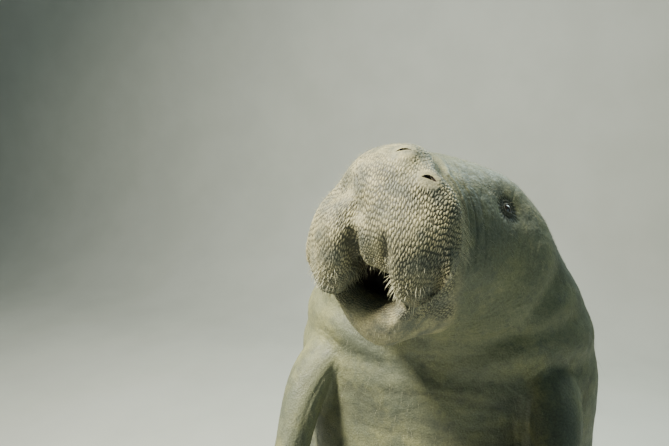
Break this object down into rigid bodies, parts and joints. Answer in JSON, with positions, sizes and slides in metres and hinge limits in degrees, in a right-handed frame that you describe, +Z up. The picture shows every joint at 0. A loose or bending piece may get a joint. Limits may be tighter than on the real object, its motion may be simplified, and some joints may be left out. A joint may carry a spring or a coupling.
{
  "type": "manatee on a display stand",
  "caption": "Life-size manatee held upright and sloping on a flat base with short rods, its head turned to one side, flippers hanging and its round tail paddle trailing behind.",
  "frame": {"origin": "on the underside of the stand's base, at its middle, under the trunk's centre line", "axes": "+Z up, the animal's chest and muzzle face -Y, its left side is +X, and its tail trails towards +Y"},
  "size_m": [0.9, 1.7122, 2.2168],
  "materials": {
    "skin": "thick, finely wrinkled grey-brown hide with a faint olive film, slightly wet",
    "eye": "wet, glossy, near black",
    "nail": "worn horn",
    "base": "satin black lacquer",
    "rod": "satin black paint"
  },
  "bodies": {
    "root": {"muzzle": "skin", "head": "skin", "neck": "skin", "torso": "skin", "tail_stock": "skin", "tail_paddle": "skin", "flipper_left": "skin", "flipper_right": "skin", "eye_left": "eye", "eye_right": "eye", "nail_left_1": "nail", "nail_left_2": "nail", "nail_left_3": "nail", "nail_right_1": "nail", "nail_right_2": "nail", "nail_right_3": "nail", "stand_base": "base", "stand_rod_front": "rod", "stand_rod_rear": "rod"}
  },
  "joints": []
}
